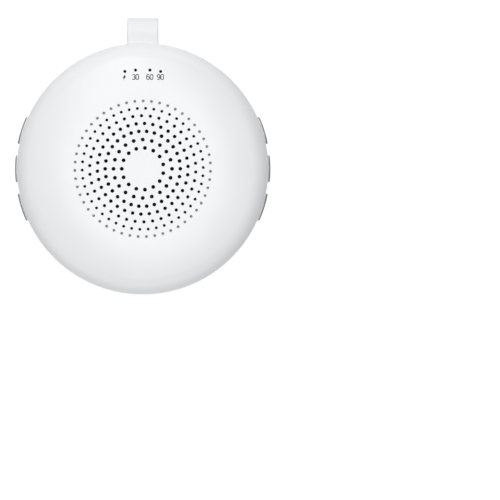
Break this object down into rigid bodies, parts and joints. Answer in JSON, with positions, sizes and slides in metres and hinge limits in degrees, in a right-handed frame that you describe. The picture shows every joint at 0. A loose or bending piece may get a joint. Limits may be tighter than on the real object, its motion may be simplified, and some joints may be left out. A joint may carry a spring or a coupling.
{
  "type": "white noise sound machine",
  "caption": "Round portable white noise machine: perforated speaker face, side buttons, night light ring, USB-C socket and a hanger loop.",
  "frame": {"origin": "centre of the foot pad's underside, on the surface the machine lies on, on the housing's axis", "axes": "+Z out of the speaker face along the housing's axis, +Y towards the hanger loop, +X towards the right-hand buttons seen from the face"},
  "size_m": [0.1038, 0.1122, 0.04],
  "materials": {
    "shell_plastic": "satin white moulded ABS, fine spark texture",
    "button_plastic": "satin white ABS key caps",
    "loop_plastic": "satin white flexible polyamide",
    "diffuser": "milky translucent polycarbonate",
    "foot_rubber": "light grey silicone rubber",
    "mesh_cloth": "black acoustic mesh",
    "foam": "black closed-cell foam",
    "pressed_steel": "zinc-plated pressed steel",
    "screw_steel": "zinc-plated steel",
    "ferrite": "nickel-plated neodymium",
    "cone_paper": "black pressed paper",
    "surround_rubber": "black butyl rubber",
    "coil_copper": "enamelled copper wire",
    "spider_cloth": "impregnated cotton",
    "clamp_plastic": "black moulded ABS",
    "circuit_board": "green solder mask",
    "chip_resin": "black moulding resin",
    "switch_plastic": "black moulded nylon",
    "plunger_plastic": "natural nylon",
    "led_resin": "yellow phosphor LED package",
    "smoked_acrylic": "smoked light guide",
    "socket_steel": "nickel-plated steel shell",
    "battery_wrap": "silver laminate pouch",
    "tape_foam": "white double-sided foam tape",
    "wire_pvc": "red PVC wire insulation",
    "flat_cable": "white polyester flat cable",
    "connector_nylon": "natural nylon plug housing"
  },
  "bodies": {
    "housing": {"front_shell": "shell_plastic", "rear_shell": "shell_plastic", "light_ring": "diffuser", "foot_pad": "foot_rubber", "hanger_loop": "loop_plastic", "shell_screws": "screw_steel", "dust_mesh": "mesh_cloth", "speaker_gasket": "foam", "speaker_frame": "pressed_steel", "speaker_surround": "surround_rubber", "speaker_spider": "spider_cloth", "speaker_yoke": "pressed_steel", "speaker_magnet": "ferrite", "pole_plate": "pressed_steel", "speaker_clamp": "clamp_plastic", "clamp_screws": "screw_steel", "indicator_board": "circuit_board", "indicator_leds": "led_resin", "light_pipe": "smoked_acrylic", "main_board": "circuit_board", "board_chips": "chip_resin", "night_leds": "led_resin", "usb_socket": "socket_steel", "battery_pack": "battery_wrap", "battery_tape": "tape_foam", "speaker_leads": "wire_pvc", "battery_leads": "wire_pvc", "indicator_cable": "flat_cable", "connectors": "connector_nylon", "side_board_right": "circuit_board", "switches_right": "switch_plastic", "side_header_right": "switch_plastic", "side_board_left": "circuit_board", "switches_left": "switch_plastic", "side_header_left": "switch_plastic"},
    "key_right_upper": {"button_right_upper": "button_plastic", "plunger_right_upper": "plunger_plastic"},
    "key_right_middle": {"button_right_middle": "button_plastic", "plunger_right_middle": "plunger_plastic"},
    "key_right_lower": {"button_right_lower": "button_plastic", "plunger_right_lower": "plunger_plastic"},
    "key_left_upper": {"button_left_upper": "button_plastic", "plunger_left_upper": "plunger_plastic"},
    "key_left_middle": {"button_left_middle": "button_plastic", "plunger_left_middle": "plunger_plastic"},
    "key_left_lower": {"button_left_lower": "button_plastic", "plunger_left_lower": "plunger_plastic"},
    "cone": {"speaker_cone": "cone_paper", "dust_cap": "cone_paper", "voice_coil": "coil_copper"}
  },
  "joints": [
    {"name": "press_right_upper", "type": "slide", "parent": "housing", "child": "key_right_upper", "axis": [-1, 0, 0], "range_m": [0, 0.0005], "stiffness_N_per_m": 3000},
    {"name": "press_right_middle", "type": "slide", "parent": "housing", "child": "key_right_middle", "axis": [-1, 0, 0], "range_m": [0, 0.0005], "stiffness_N_per_m": 3000},
    {"name": "press_right_lower", "type": "slide", "parent": "housing", "child": "key_right_lower", "axis": [-1, 0, 0], "range_m": [0, 0.0005], "stiffness_N_per_m": 3000},
    {"name": "press_left_upper", "type": "slide", "parent": "housing", "child": "key_left_upper", "axis": [1, 0, 0], "range_m": [0, 0.0005], "stiffness_N_per_m": 3000},
    {"name": "press_left_middle", "type": "slide", "parent": "housing", "child": "key_left_middle", "axis": [1, 0, 0], "range_m": [0, 0.0005], "stiffness_N_per_m": 3000},
    {"name": "press_left_lower", "type": "slide", "parent": "housing", "child": "key_left_lower", "axis": [1, 0, 0], "range_m": [0, 0.0005], "stiffness_N_per_m": 3000},
    {"name": "cone_excursion", "type": "slide", "parent": "housing", "child": "cone", "axis": [0, 0, 1], "range_m": [-0.0006, 0.0006], "stiffness_N_per_m": 1500, "deforming": ["speaker_surround", "speaker_spider"]}
  ]
}
